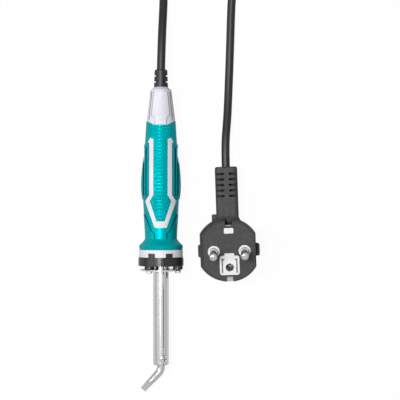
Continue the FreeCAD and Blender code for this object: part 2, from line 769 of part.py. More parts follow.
def make_barrel_flange():
    plate = turned([
        (BOSS_FACE, 0),
        (BOSS_FACE, PLATE_RADIUS - PLATE_BEVEL),
        (BOSS_FACE - PLATE_BEVEL, PLATE_RADIUS),
        (PLATE_FRONT + PLATE_BEVEL, PLATE_RADIUS),
        (PLATE_FRONT, PLATE_RADIUS - PLATE_BEVEL),
        (PLATE_FRONT, 0),
    ])
    half = TAG_WIDTH / 2
    tag = box((-half, half), (BOSS_FACE, BOSS_FACE + TAG_LENGTH), (TAG_RADIUS, TAG_RADIUS + TAG_THICKNESS))
    plate = plate.fuse(about_axis(tag, TAG_ANGLE))
    holes = screw_rods(PLATE_FRONT - 1, BOSS_FACE + 1, SCREW_RADIUS + SCREW_HOLE_FIT)
    return plate.cut(holes + [rod(PLATE_FRONT - 1, BOSS_FACE + 1, BARREL_RADIUS + BARREL_FIT)])


def make_flange_screws():
    length = PLATE_THICKNESS + BOSS_HEIGHT + SHIELD_LENGTH + SCREW_DEPTH
    screw = pan_head(SCREW_HEAD_RADIUS, SCREW_HEAD_HEIGHT, SCREW_RADIUS, length)
    screw.rotate(Vector(0, 0, 0), Vector(1, 0, 0), 90)
    screw.translate(Vector(0, PLATE_FRONT, SCREW_CIRCLE))
    step = 360 / SCREW_COUNT
    return [about_axis(screw, SCREW_START_ANGLE + index * step) for index in range(SCREW_COUNT)]


def make_barrel():
    curl = BARREL_CURL
    bend = curl * (1 - math.sqrt(0.5))
    lip_inner = TIP_RADIUS + HEATER_CLEARANCE
    inner_curl = curl - BARREL_WALL
    inner_bend = inner_curl * (1 - math.sqrt(0.5))
    seat = BOSS_FACE
    at = [
        Vector(lip_inner, MOUTH, 0),
        Vector(BARREL_RADIUS - curl, MOUTH, 0),
        Vector(BARREL_RADIUS, MOUTH + curl, 0),
        Vector(BARREL_RADIUS, seat, 0),
        Vector(BARREL_FLANGE_RADIUS, seat, 0),
        Vector(BARREL_FLANGE_RADIUS, seat + BARREL_FLANGE_THICKNESS, 0),
        Vector(BARREL_RADIUS, seat + BARREL_FLANGE_THICKNESS, 0),
        Vector(BARREL_RADIUS, BARREL_START, 0),
        Vector(BARREL_BORE, BARREL_START, 0),
        Vector(BARREL_BORE, MOUTH + curl, 0),
        Vector(BARREL_RADIUS - curl, MOUTH + BARREL_WALL, 0),
        Vector(lip_inner, MOUTH + BARREL_WALL, 0),
    ]
    outer_middle = Vector(BARREL_RADIUS - bend, MOUTH + bend, 0)
    inner_middle = Vector(BARREL_BORE - inner_bend, MOUTH + BARREL_WALL + inner_bend, 0)
    edges = []
    for index, (start, end) in enumerate(zip(at, at[1:] + at[:1])):
        if index == 1:
            edges.append(Part.Arc(start, outer_middle, end).toShape())
        elif index == 9:
            edges.append(Part.Arc(start, inner_middle, end).toShape())
        else:
            edges.append(Part.makeLine(start, end))
    tube = Part.Face(Part.Wire(edges)).revolve(Vector(0, 0, 0), Y_AXIS, 360)
    half = SEAM_WIDTH / 2
    seam = box((-half, half), (MOUTH - 1, BARREL_START + 1), (0, REACH))
    hole = Part.makeCylinder(SET_SCREW_RADIUS + SET_SCREW_PASSAGE, REACH, Vector(0, SET_SCREW_AT, 0))
    return tube.cut([about_axis(seam, SEAM_ANGLE), about_axis(hole, SEAM_ANGLE)])


def make_tip_holder():
    holder = ring(HOLDER_START, HOLDER_END, TIP_RADIUS + TIP_FIT, SEAT_RADIUS)
    hole = Part.makeCylinder(SET_SCREW_RADIUS + SET_SCREW_FIT, REACH, Vector(0, SET_SCREW_AT, 0))
    return holder.cut(about_axis(hole, SEAM_ANGLE))


def make_tip_screw():
    seat = BARREL_RADIUS + BARREL_FIT
    length = seat - TIP_RADIUS - TIP_FIT
    screw = pan_head(SET_SCREW_HEAD_RADIUS, SET_SCREW_HEAD_HEIGHT, SET_SCREW_RADIUS, length)
    screw.translate(Vector(0, SET_SCREW_AT, seat))
    return about_axis(screw, SEAM_ANGLE)


def make_tip():
    tangent = TIP_BEND_RADIUS * math.tan(math.radians(TIP_BEND_ANGLE / 2))
    bend_start = MOUTH - TIP_BEND_STATION + tangent
    shank = rod(bend_start, MOUTH + TIP_INSERTION, TIP_RADIUS)
    circle = Part.Face(Part.Wire(Part.makeCircle(TIP_RADIUS, Vector(0, bend_start, 0), Y_AXIS)))
    pivot = Vector(-TIP_BEND_RADIUS, bend_start, 0)
    elbow = circle.revolve(pivot, Vector(0, 0, -1), TIP_BEND_ANGLE)
    arm_length = TIP_ARM_LENGTH - tangent
    arm = Part.makeCone(TIP_RADIUS, TIP_END_RADIUS, arm_length, Vector(0, bend_start, 0), Vector(0, -1, 0))
    end = bend_start - arm_length
    half = TIP_EDGE_THICKNESS / 2
    wedge = flat_face([
        (0, end - 1, half),
        (0, end, half),
        (0, end + TIP_FACET_LENGTH, TIP_RADIUS),
        (0, end + TIP_FACET_LENGTH, TIP_RADIUS + 1),
        (0, end - 1, TIP_RADIUS + 1),
    ])
    upper = wedge.translated(Vector(-REACH, 0, 0)).extrude(Vector(2 * REACH, 0, 0))
    lower = upper.mirror(Vector(0, 0, 0), Z_AXIS)
    arm = arm.cut([upper, lower])
    arm.rotate(pivot, Vector(0, 0, -1), TIP_BEND_ANGLE)
    return fused([shank, elbow, arm])


# --- heater and wiring -------------------------------------------------------------------------
def make_heater_bobbin():
    end = HEATER_END_THICKNESS
    return turned([
        (HEATER_START, HEATER_BORE),
        (HEATER_START, SEAT_RADIUS),
        (HEATER_START + end, SEAT_RADIUS),
        (HEATER_START + end, WINDING_INNER),
        (HEATER_END - end, WINDING_INNER),
        (HEATER_END - end, SEAT_RADIUS),
        (HEATER_END, SEAT_RADIUS),
        (HEATER_END, HEATER_BORE),
    ])


def make_heater_winding():
    start = HEATER_START + HEATER_END_THICKNESS
    pitch = (HEATER_LENGTH - 2 * HEATER_END_THICKNESS) / WINDING_TURNS
    crest = WINDING_INNER + WINDING_THICKNESS
    valley = crest - 0.6 * WINDING_THICKNESS
    profile = [(start, WINDING_INNER)]
    for turn in range(WINDING_TURNS):
        profile.append((start + turn * pitch, valley))
        profile.append((start + (turn + 0.5) * pitch, crest))
    profile.append((start + WINDING_TURNS * pitch, valley))
    profile.append((start + WINDING_TURNS * pitch, WINDING_INNER))
    return turned(profile)


def make_mica_wrap():
    inner = WINDING_INNER + WINDING_THICKNESS
    start = HEATER_START + HEATER_END_THICKNESS
    end = HEATER_END - HEATER_END_THICKNESS
    return ring(start, end, inner, inner + MICA_THICKNESS)


def make_rear_bush():
    bush = ring(BUSH_START, BUSH_END, 0, SEAT_RADIUS)
    for side in (-1, 1):
        bush = bush.cut(rod(BUSH_START - 1, BUSH_END + 1, LEAD_RADIUS, side * LEAD_SPACING))
    return bush


def wire_end():
    return BLOCK_STATION + TERMINAL_WIRE_DEPTH


def make_heater_leads():
    leads = []
    for side in (-1, 1):
        near = side * LEAD_SPACING
        far = side * TERMINAL_PITCH
        route = [
            (near, BUSH_START + 2, 0),
            (near, BLOCK_STATION - 16, 0),
            (far, BLOCK_STATION - 6, 0),
            (far, wire_end(), 0),
        ]
        leads.append(cord_tube(route, LEAD_RADIUS, "heater lead"))
    return leads


def make_earth_lead():
    radius = TAG_RADIUS - LEAD_RADIUS
    angle = math.radians(TAG_ANGLE)
    x = radius * math.sin(angle)
    z = radius * math.cos(angle)
    route = [
        (x, BARREL_START + 1, z),
        (x, BLOCK_STATION - 22, z),
        (0, BLOCK_STATION - 8, 0),
        (0, wire_end(), 0),
    ]
    return cord_tube(route, LEAD_RADIUS, "earth lead")


def terminal_places():
    middle = (TERMINALS - 1) / 2
    return [(index - middle) * TERMINAL_PITCH for index in range(TERMINALS)]


def screw_stations():
    return (BLOCK_STATION + TERMINAL_SCREW_INSET, BLOCK_END - TERMINAL_SCREW_INSET)


def make_terminal_block():
    half = BLOCK_WIDTH / 2
    rise = BLOCK_HEIGHT / 2
    block = box((-half, half), (BLOCK_STATION, BLOCK_END), (-rise, rise))
    corners = [edge for edge in block.Edges if edge.BoundBox.YLength > BLOCK_LENGTH - 1]
    block = block.makeChamfer(BLOCK_CHAMFER, corners)
    for x in terminal_places():
        block = block.cut(rod(BLOCK_STATION - 1, BLOCK_END + 1, TERMINAL_RADIUS, x))
        for station in screw_stations():
            well = Part.makeCylinder(TERMINAL_SCREW_RADIUS + TERMINAL_WELL_MARGIN, REACH, Vector(x, station, 0))
            block = block.cut(well)
    return block


def make_terminal_tubes():
    tubes = []
    for x in terminal_places():
        tube = rod(BLOCK_STATION, BLOCK_END, TERMINAL_RADIUS, x)
        depth = TERMINAL_WIRE_DEPTH + 0.5
        for start in (BLOCK_STATION, BLOCK_END - depth):
            tube = tube.cut(rod(start, start + depth, TERMINAL_BORE, x))
        for station in screw_stations():
            hole = Part.makeCylinder(TERMINAL_SCREW_RADIUS, REACH, Vector(x, station, 0))
            tube = tube.cut(hole)
        tubes.append(tube)
    return tubes


def make_terminal_screws():
    screws = []
    for x in terminal_places():
        for station in screw_stations():
            foot = Vector(x, station, LEAD_RADIUS)
            screw = Part.makeCylinder(TERMINAL_SCREW_RADIUS, TERMINAL_SCREW_HEIGHT - LEAD_RADIUS, foot)
            top = TERMINAL_SCREW_HEIGHT
            slot = box((x - 2, x + 2), (station - 0.15, station + 0.15), (top - 0.5, top + 1))
            screws.append(screw.cut(slot))
    return screws


def make_supply_cores():
    cores = []
    for x in terminal_places():
        near = x * CORE_SPACING / TERMINAL_PITCH
        depth = -CORE_DROP if x == 0 else CORE_RISE
        route = [
            (near, SHEATH_END, depth),
            (near, SHEATH_END - 2.2, depth),
            (x, BLOCK_END + 2.4, 0),
            (x, BLOCK_END - TERMINAL_WIRE_DEPTH, 0),
        ]
        cores.append(cord_tube(route, LEAD_RADIUS, "supply core"))
    return cores


def make_cord_inside():
    return rod(SHEATH_END, RELIEF_END, CORD_RADIUS)


def make_cord_clamp():
    half = CLAMP_WIDTH / 2
    bar = box((-half, half), (CLAMP_STATION, CLAMP_STATION + CLAMP_LENGTH), (CLAMP_GAP, CLAMP_TOP))
    bar = bar.cut(rod(CLAMP_STATION - 1, CLAMP_STATION + CLAMP_LENGTH + 1, CORD_RADIUS + CORD_FIT))
    middle = CLAMP_STATION + CLAMP_LENGTH / 2
    for side in (-1, 1):
        foot = Vector(side * CLAMP_SCREW_OFFSET, middle, 0)
        bar = bar.cut(Part.makeCylinder(CLAMP_SCREW_RADIUS, REACH, foot))
    return bar


def make_clamp_screws():
    screws = []
    middle = CLAMP_STATION + CLAMP_LENGTH / 2
    for side in (-1, 1):
        length = CLAMP_TOP + CLAMP_SCREW_DEPTH
        screw = pan_head(CLAMP_SCREW_HEAD_RADIUS, CLAMP_SCREW_HEAD_HEIGHT, CLAMP_SCREW_RADIUS, length)
        screws.append(screw.translated(Vector(side * CLAMP_SCREW_OFFSET, middle, CLAMP_TOP)))
    return screws


# --- plug ------------------------------------------------------------------------------------------
# The plug's own frame stands on the table below the middle of its face, +Y
# towards the cord. The face frame tilts about that middle, pins along +Z.
def face_placed(shape):
    """Shape from the face frame into the plug's own frame."""
    rolled = shape.rotated(Vector(0, 0, 0), Y_AXIS, PLUG_ROLL)
    tilted = rolled.rotated(Vector(0, 0, 0), Vector(1, 0, 0), PLUG_TILT)
    return tilted.translated(Vector(0, 0, PLUG_FACE_HEIGHT))


def plug_placed(shape):
    """Shape from the plug's own frame into the iron's."""
    turned_shape = shape.rotated(Vector(0, 0, 0), Z_AXIS, PLUG_YAW)
    return turned_shape.translated(PLUG_PLACE)


def flatted_disc(radius, half_width, bottom, height):
    """Disc with two flat sides."""
    disc = Part.makeCylinder(radius, height, Vector(0, 0, bottom))
    return disc.common(box((-half_width, half_width), (-REACH, REACH), (bottom, bottom + height)))


def pad(width, low, high, bottom, top, corner):
    """Rounded block of the plug's insert, in the face frame."""
    half = width / 2
    block = box((-half, half), (low, high), (bottom, top))
    edges = [edge for edge in block.Edges if edge.BoundBox.ZLength > (top - bottom) / 2]
    return block.makeFillet(corner, edges)


def insert_blank():
    """White carrier with the parts that show in the plug's face."""
    half = CARRIER_WIDTH / 2
    bottom = CARRIER_TOP - CARRIER_DEPTH
    parts = [
        box((-half, half), (-CARRIER_HEIGHT / 2, CARRIER_HEIGHT / 2), (bottom, CARRIER_TOP)),
        box((-TOP_PAD_WIDTH / 2, TOP_PAD_WIDTH / 2), (0, TOP_PAD_HIGH), (bottom, CARRIER_TOP)),
        pad(INSERT_WIDTH, INSERT_BOTTOM, INSERT_TOP, -INSERT_DEPTH, 0, INSERT_CORNER),
        pad(INSERT_TONGUE_WIDTH, INSERT_TOP - 3, INSERT_TONGUE_TOP, bottom, 0, PAD_CORNER),
        pad(TOP_PAD_WIDTH, TOP_PAD_LOW, TOP_PAD_HIGH, bottom, 0, PAD_CORNER),
    ]
    for side in (-1, 1):
        foot = Vector(side * PIN_SPACING / 2, 0, bottom)
        parts.append(Part.makeCylinder(PIN_COLLAR_RADIUS, -bottom, foot))
    return fused(parts)


def make_plug_pins():
    pins = []
    for side in (-1, 1):
        middle = Vector(side * PIN_SPACING / 2, 0, 0)
        pin = Part.makeCylinder(PIN_RADIUS, PIN_LENGTH, middle)
        rim = [edge for edge in pin.Edges if edge.BoundBox.ZMin > PIN_LENGTH / 2]
        pin = pin.makeFillet(0.7 * PIN_RADIUS, rim)
        root = Part.makeCylinder(PIN_ROOT_RADIUS, PIN_ROOT, middle - Vector(0, 0, PIN_ROOT))
        pins.append(face_placed(pin.fuse(root)))
    return pins


def earth_socket_blank(radius):
    """Cylinder of the earth socket below its mouth, in the face frame."""
    length = EARTH_DEPTH - EARTH_RECESS
    return Part.makeCylinder(radius, length, Vector(0, -EARTH_OFFSET, -EARTH_DEPTH))


def insert_grooves():
    """Bent grooves on both sides of the earth hole, in the face frame."""
    grooves = []
    low = -EARTH_OFFSET - INSERT_GROOVE_DROP
    for side in (-1, 1):
        inner = side * INSERT_GROOVE_OFFSET
        upright = sorted((inner, inner + side * INSERT_GROOVE_WIDTH))
        foot = sorted((inner - side * INSERT_GROOVE_WIDTH, inner + side * INSERT_GROOVE_WIDTH))
        top = low + INSERT_GROOVE_LENGTH
        groove = box(upright, (low, top), (-INSERT_GROOVE_DEPTH, 1))
        hook = box(foot, (top, top + INSERT_GROOVE_WIDTH), (-INSERT_GROOVE_DEPTH, 1))
        grooves.append(groove.fuse(hook))
    return grooves


def make_plug_earth_socket():
    return face_placed(earth_socket_blank(EARTH_BORE + EARTH_WALL).cut(earth_socket_blank(EARTH_BORE)))


def make_plug_insert():
    mouth = Part.makeCylinder(EARTH_BORE + EARTH_MOUTH_FIT, REACH, Vector(0, -EARTH_OFFSET, -EARTH_RECESS))
    insert = insert_blank().cut([earth_socket_blank(EARTH_BORE + EARTH_WALL), mouth])
    insert = insert.cut(insert_grooves())
    for side in (-1, 1):
        foot = Vector(side * PIN_SPACING / 2, 0, -PIN_ROOT)
        insert = insert.cut(Part.makeCylinder(PIN_ROOT_RADIUS, PIN_ROOT, foot))
    return face_placed(insert)


def contact_blank(margin):
    """The two side earth strips; a margin turns them into their recesses."""
    half = CONTACT_WIDTH / 2 + margin
    inner = FACE_RADIUS - CONTACT_RECESS
    low = -CONTACT_DEPTH - margin
    strips = []
    for side, thickness in ((1, CONTACT_THICKNESS), (-1, CONTACT_FOLD)):
        outer = inner + thickness if margin == 0 else REACH
        limits = sorted((side * inner, side * outer))
        strips.append(box((-half, half), limits, (low, -CONTACT_SINK if margin == 0 else 1)))
    return strips


def make_plug_earth_contacts():
    return [face_placed(strip) for strip in contact_blank(0)]


def make_plug_body():
    puck = flatted_disc(FACE_RADIUS, FACE_HALF_WIDTH, -FACE_STEP - 2, FACE_STEP + 2)
    rim = [edge for edge in puck.Edges if edge.BoundBox.ZMin > -0.1]
    puck = face_placed(puck.makeChamfer(FACE_BEVEL, rim))
    hood = flatted_disc(FACE_RADIUS + HOOD_MARGIN, FACE_HALF_WIDTH + HOOD_MARGIN, 0, 2 * REACH)
    above = box((-2 * REACH, 2 * REACH), (-2 * REACH, 2 * REACH), (-FACE_STEP, 2 * REACH))
    hood = hood.translated(HOOD_SHIFT).cut(face_placed(above))
    back = [edge for edge in hood.Edges if edge.BoundBox.ZMax < 0.1]
    hood = hood.makeFillet(HOOD_EDGE, back)
    sections = [
        rounded_rectangle(NECK_START_WIDTH, NECK_START_HEIGHT, 2 * GUARD_CORNER, NECK_START, NECK_START_HEIGHT / 2),
        rounded_rectangle(GUARD_WIDTH, GUARD_HEIGHT, GUARD_CORNER, GUARD_STATION, GUARD_AXIS_HEIGHT),
    ]
    neck = Part.makeLoft(sections, True, True)
    guard = Part.Face(rounded_rectangle(
        GUARD_WIDTH, GUARD_HEIGHT, GUARD_CORNER, GUARD_STATION, GUARD_AXIS_HEIGHT
    )).extrude(Vector(0, GUARD_END - GUARD_STATION, 0))
    end_edges = [edge for edge in guard.Edges if edge.BoundBox.YMin > GUARD_END - 0.1]
    guard = guard.makeChamfer(GUARD_CHAMFER, end_edges)
    sleeve_radius = CORD_RADIUS + GUARD_SLEEVE_WALL
    sleeve = rod(GUARD_STATION, GUARD_END, sleeve_radius, 0, GUARD_AXIS_HEIGHT)
    web_low = GUARD_AXIS_HEIGHT - GUARD_WEB / 2
    web = box((-REACH, REACH), (GUARD_STATION, GUARD_END), (web_low, web_low + GUARD_WEB))
    kept = sleeve.fuse(web)
    for index in range(GUARD_SLOTS):
        station = GUARD_SLOT_START + index * GUARD_SLOT_PITCH
        for side in (-1, 1):
            limits = sorted((side * GUARD_SPINE / 2, side * REACH))
            slot = box(limits, (station, station + GUARD_SLOT_WIDTH), (-REACH, REACH))
            guard = guard.cut(slot.cut(kept))
    reach = FACE_HALF_WIDTH + HOOD_MARGIN + LUG_REACH
    lug_low = LUG_STATION - LUG_LENGTH / 2
    lug = pad(2 * reach, lug_low, lug_low + LUG_LENGTH, LUG_BOTTOM, LUG_BOTTOM + LUG_HEIGHT, LUG_CORNER)
    shoulder = box((-SHOULDER_REACH, 0), (NECK_START, SHOULDER_END), (SHOULDER_LOW, SHOULDER_TOP))
    upright = [edge for edge in shoulder.Edges if edge.BoundBox.ZLength > 1 and edge.BoundBox.XMax < 0]
    shoulder = shoulder.makeFillet(SHOULDER_CORNER, upright)
    body = fused([hood, puck, neck, guard, lug, shoulder])
    cavities = [face_placed(insert_blank())] + [face_placed(strip) for strip in contact_blank(CONTACT_FIT)]
    return body.cut(cavities)


# --- free cord ----------------------------------------------------------------------------------------
def coil_point(angle, radius, height):
    """Point of the coil at an angle from +X, anticlockwise seen from above."""
    turn = math.radians(angle)
    return COIL_CENTRE + Vector(radius * math.cos(turn), radius * math.sin(turn), height)


COIL_OUTER = COIL_MIDDLE_RADIUS + COIL_LAYER_TURNS * CORD_RADIUS
COIL_INNER = COIL_MIDDLE_RADIUS - COIL_LAYER_TURNS * CORD_RADIUS


def make_cord_iron_side(shift):
    start = RELIEF_END + shift
    route = [(0, start, AXIS_HEIGHT)]
    route += [(x, start + y, z) for x, y, z in IRON_SIDE_ROUTE]
    route.append(tuple(coil_point(COIL_ENTRY_ANGLE, COIL_OUTER, CORD_LIE)))
    return cord_tube(route, CORD_RADIUS, "cord, iron side")


def make_cord_plug_side():
    exit_point = plug_placed(Part.Vertex(0, GUARD_END, GUARD_AXIS_HEIGHT)).Point
    next_point = plug_placed(Part.Vertex(0, GUARD_END + GUARD_RUN, GUARD_AXIS_HEIGHT)).Point
    route = [tuple(coil_point(COIL_EXIT_ANGLE, COIL_OUTER, CORD_LIE + COIL_LAYER_HEIGHT))]
    route += PLUG_SIDE_ROUTE
    route += [tuple(next_point), tuple(exit_point)]
    return cord_tube(route, CORD_RADIUS, "cord, plug side")


def coil_section(margin, top):
    """Half section of the wound coil, as seen along +Y from its centre."""
    inner = COIL_INNER - CORD_RADIUS - margin
    outer = COIL_OUTER + CORD_RADIUS + margin
    return [(inner, 0, 0), (outer, 0, 0), (outer, 0, top), (inner, 0, top)]


def tie_sector(margin, top, bottom):
    half = TIE_WIDTH / 2
    inner = COIL_INNER - CORD_RADIUS - margin
    outer = COIL_OUTER + CORD_RADIUS + margin
    block = box((inner, outer), (-half, half), (bottom, top))
    block.rotate(Vector(0, 0, 0), Z_AXIS, TIE_ANGLE)
    return block.translated(COIL_CENTRE)


COIL_TOP = CORD_LIE + COIL_LAYER_HEIGHT + CORD_RADIUS


def make_cord_coil():
    face = flat_face(coil_section(0, COIL_TOP))
    coil = face.revolve(Vector(0, 0, 0), Z_AXIS, 360)
    long_edges = [edge for edge in coil.Edges if edge.BoundBox.ZLength < 0.1]
    coil = coil.makeFillet(0.8 * CORD_RADIUS, long_edges).translated(COIL_CENTRE)
    return coil.cut(make_coil_tie())


def make_coil_tie():
    outer = tie_sector(TIE_THICKNESS, COIL_TOP, 0)
    inner = tie_sector(-0.2, COIL_TOP - TIE_THICKNESS, TIE_THICKNESS)
    return outer.cut(inner)


# --- export --------------------------------------------------------------------------------------------
def iron_nodes():
    """Pieces of the iron, in stations along its axis."""
    return {
        "handle_core": make_handle_core(),
        "grip_sleeve": make_grip(),
        "strain_relief": make_strain_relief(),
        "heat_shield": make_heat_shield(),
        "barrel_flange": make_barrel_flange(),
        "flange_screws": make_flange_screws(),
        "barrel": make_barrel(),
        "tip_holder": make_tip_holder(),
        "tip_screw": make_tip_screw(),
        "soldering_tip": make_tip(),
        "heater_bobbin": make_heater_bobbin(),
        "heater_winding": make_heater_winding(),
        "mica_wrap": make_mica_wrap(),
        "rear_bush": make_rear_bush(),
        "heater_leads": make_heater_leads(),
        "earth_lead": make_earth_lead(),
        "terminal_block": make_terminal_block(),
        "terminal_tubes": make_terminal_tubes(),
        "terminal_screws": make_terminal_screws(),
        "supply_cores": make_supply_cores(),
        "cord_inside": make_cord_inside(),
        "cord_clamp": make_cord_clamp(),
        "clamp_screws": make_clamp_screws(),
    }


def plug_nodes():
    """Pieces of the plug, in the plug's own frame."""
    return {
        "plug_body": make_plug_body(),
        "plug_insert": make_plug_insert(),
        "plug_pins": make_plug_pins(),
        "plug_earth_socket": make_plug_earth_socket(),
        "plug_earth_contacts": make_plug_earth_contacts(),
    }


def joined(piece):
    """One shape from a solid or a list of separate solids."""
    return Part.makeCompound(piece) if isinstance(piece, list) else piece


def export(name, shape):
    solids = shape.Solids
    box_of = shape.BoundBox
    if not shape.isValid():
        print("NOT VALID", name)
    print(
        name, len(solids), "solids", round(shape.Volume, 1),
        [round(value, 2) for value in (box_of.XMin, box_of.YMin, box_of.ZMin, box_of.XMax, box_of.YMax, box_of.ZMax)],
    )
    whole = Part.makeCompound(solids) if len(solids) > 1 else solids[0]
    whole.exportStep("parts/" + name + ".step")


def main():
    os.makedirs("parts", exist_ok=True)
    pieces = {name: joined(piece) for name, piece in iron_nodes().items()}
    shift = -(RELIEF_END + pieces["soldering_tip"].BoundBox.YMin) / 2
    nodes = {name: piece.translated(Vector(0, shift, AXIS_HEIGHT)) for name, piece in pieces.items()}
    for name, piece in plug_nodes().items():
        nodes[name] = plug_placed(joined(piece))
    nodes["cord_iron_side"] = make_cord_iron_side(shift)
    nodes["cord_plug_side"] = make_cord_plug_side()
    nodes["cord_coil"] = make_cord_coil()
    nodes["coil_tie"] = make_coil_tie()
    for name, shape in nodes.items():
        export(name, shape)


main()
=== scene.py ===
import json
import math

import bmesh
import bpy
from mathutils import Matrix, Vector
from mathutils.bvhtree import BVHTree


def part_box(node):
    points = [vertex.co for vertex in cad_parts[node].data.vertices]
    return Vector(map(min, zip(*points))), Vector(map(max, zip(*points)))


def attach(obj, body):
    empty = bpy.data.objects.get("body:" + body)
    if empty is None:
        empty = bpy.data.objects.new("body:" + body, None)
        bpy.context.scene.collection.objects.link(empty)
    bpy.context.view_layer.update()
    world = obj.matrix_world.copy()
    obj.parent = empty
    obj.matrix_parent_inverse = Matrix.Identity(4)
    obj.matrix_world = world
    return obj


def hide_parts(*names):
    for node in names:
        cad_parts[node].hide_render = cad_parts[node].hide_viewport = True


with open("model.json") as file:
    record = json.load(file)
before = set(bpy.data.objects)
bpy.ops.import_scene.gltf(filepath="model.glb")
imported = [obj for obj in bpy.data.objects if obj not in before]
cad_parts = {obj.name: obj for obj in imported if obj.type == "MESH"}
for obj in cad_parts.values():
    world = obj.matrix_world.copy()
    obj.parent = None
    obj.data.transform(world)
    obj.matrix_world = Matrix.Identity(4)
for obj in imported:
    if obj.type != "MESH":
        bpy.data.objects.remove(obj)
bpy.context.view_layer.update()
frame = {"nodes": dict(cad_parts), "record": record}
nodes = frame["nodes"]

MM = 0.001
BODY = "iron"

# --- places taken from the frame -------------------------------------------------
SHIELD_LOW, SHIELD_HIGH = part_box("heat_shield")
RELIEF_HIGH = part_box("strain_relief")[1]
AXIS_HEIGHT = (SHIELD_LOW.z + SHIELD_HIGH.z) / 2
SPIGOT_LENGTH = 3.0 * MM
# Stations along the iron count from the joint between shield and handle.
FRONT = SHIELD_HIGH.y - SPIGOT_LENGTH

# --- cord -------------------------------------------------------------------------
CORD_RADIUS = 2.6 * MM
COIL_CENTRE = Vector((22.7, 203.0, 0)) * MM
COIL_MIDDLE_RADIUS = 30.6 * MM
COIL_LAYER_TURNS = 3.3
COIL_LAYER_HEIGHT = 5.25 * MM
COIL_ENTRY_ANGLE = 200.0
COIL_EXIT_ANGLE = -20.0
COIL_WHOLE_TURNS = 6
COIL_STEPS = 160
CLIMB_START = 0.47
CLIMB_SHARE = 0.06
CORD_LIE = CORD_RADIUS + 0.05 * MM
IRON_SIDE_ROUTE = [
    (0.3, 13.0, 14.1),
    (0.9, 29.0, 11.4),
    (1.6, 47.5, 5.4),
    (0.6, 64.0, 2.75),
    (-4.3, 78.5, 2.65),
]
PLUG_SIDE_ROUTE = [
    (53.9, 175.4, 7.0),
    (47.6, 163.0, 4.2),
    (44.4, 149.5, 2.75),
    (43.7, 130.5, 2.65),
    (43.1, 109.5, 2.65),
    (42.3, 88.5, 2.8),
    (41.5, 70.5, 5.6),
]
PLUG_PLACE = Vector((42.3, -12.6, 0)) * MM
PLUG_YAW = math.radians(2.0)
GUARD_END = 52.5 * MM
GUARD_RUN = 14.0 * MM
GUARD_AXIS_HEIGHT = 9.6 * MM
CORD_SIDES = 6
CORD_STEPS = 8

# --- camera and lights --------------------------------------------------------------
CAMERA_PLACE = (0.0243, 0.0191, 0.900)
LENS = 128.0
SENSOR_WIDTH = 36.0
WORLD_STRENGTH = 0.23
ZENITH_GLOSS = 0.8
HORIZON_GLOSS = 0.5
# How high the sky starts and stops brightening in reflections.
SKY_LOW = 0.1
SKY_HIGH = 0.95
KEY_PLACE = (-0.14, 0.06, 0.84)
KEY_SIZE = (0.16, 0.3)
KEY_POWER = 5.4
KEY_TARGET = (0.01, 0, 0)
STRIP_PLACE = (-0.75, 0.05, 0.62)
STRIP_SIZE = (0.07, 0.7)
STRIP_POWER = 2.1
STRIP_TARGET = (0.02, 0, 0)
FLOOR_HALF = 3.0
FLOOR_WHITE = 0.9
FLOOR_BOUNCE = 0.35
FLOOR_GLOW = 0.95
FLOOR_GLOSS = 0.55

# Stretches a texture along the barrel, as rolled sheet shows.
ALONG_BARREL = (1, 0.05, 1)
PEARL_SHARE = 0.36
PEARL_TINT = 1.6
CREVICE_SAMPLES = 12
PLAIN_SPECULAR = 0.35
RUBBER_SPECULAR = 0.2
# Noise below and above these levels gives the two ends of a range.
NOISE_LOW = 0.3
NOISE_HIGH = 0.7
NOISE_DETAIL = 4.0
# Ranges are shares of the colour or of the roughness, spreads are added to the roughness.
TINT_SCALE = 90
TINT_RANGE = (0.95, 1.03)
ROUGHNESS_SCALE = 400
ROUGHNESS_SPREAD = (-0.05, 0.08)
GRAIN_DETAIL = 2.0
GRAIN_DEPTH = 0.05 * MM
GLOSSY_TINT_RANGE = (0.9, 1.1)
GLOSSY_ROUGHNESS_SCALE = 250
GLOSSY_SPREAD = 0.03
GLOSSY_GRAIN = 300
GLOSSY_DETAIL = 1.0
GLOSSY_BUMP = 0.01
MOTTLE_SCALE = 700
MOTTLE_RANGE = (0.8, 1.16)
METAL_TINT_SCALE = 60
METAL_TINT = 0.94
METAL_ROUGHNESS_RANGE = (0.92, 1.15)
METAL_DETAIL = 3.0
METAL_DEPTH = 0.02 * MM
SLEEVE_ROUGHNESS = 0.8
SLEEVE_BANDS = 900
SLEEVE_BUMP = 0.5
SLEEVE_DEPTH = 0.1 * MM
# Painted crevice shade per slot: (reach, darkening of the painted shade, openness that counts as
# closed, openness that counts as free).
PAINTED_CREVICE_SHADE = {
    "core_white": (1.2 * MM, 0.16, 0.25, 0.85),
    "grip_teal": (1.4 * MM, 0.85, 0.25, 0.85),
    "relief_black": (1.5 * MM, 0.95, 0.25, 0.85),
    "shield_black": (2.0 * MM, 0.9, 0.25, 0.85),
    "flange_chrome": (2.0 * MM, 0.7, 0.25, 0.85),
    "screw_steel": (0.9 * MM, 0.92, 0.35, 0.9),
    "barrel_steel": (1.0 * MM, 0.8, 0.25, 0.85),
    "tip_plated": (1.0 * MM, 0.5, 0.25, 0.85),
    # Long reach: painted shade darkens the deep earth socket hole and the other brass hollows.
    "brass": (9.0 * MM, 0.85, 0.1, 0.85),
    "plug_black": (2.4 * MM, 0.98, 0.3, 0.9),
    "insert_white": (1.6 * MM, 0.9, 0.25, 0.75),
    # Long reach: painted shade darkens the pin shafts towards the plug face, standing in for the
    # dark plug they reflect.
    "pin_plated": (9.0 * MM, 0.93, 0.62, 0.99),
}

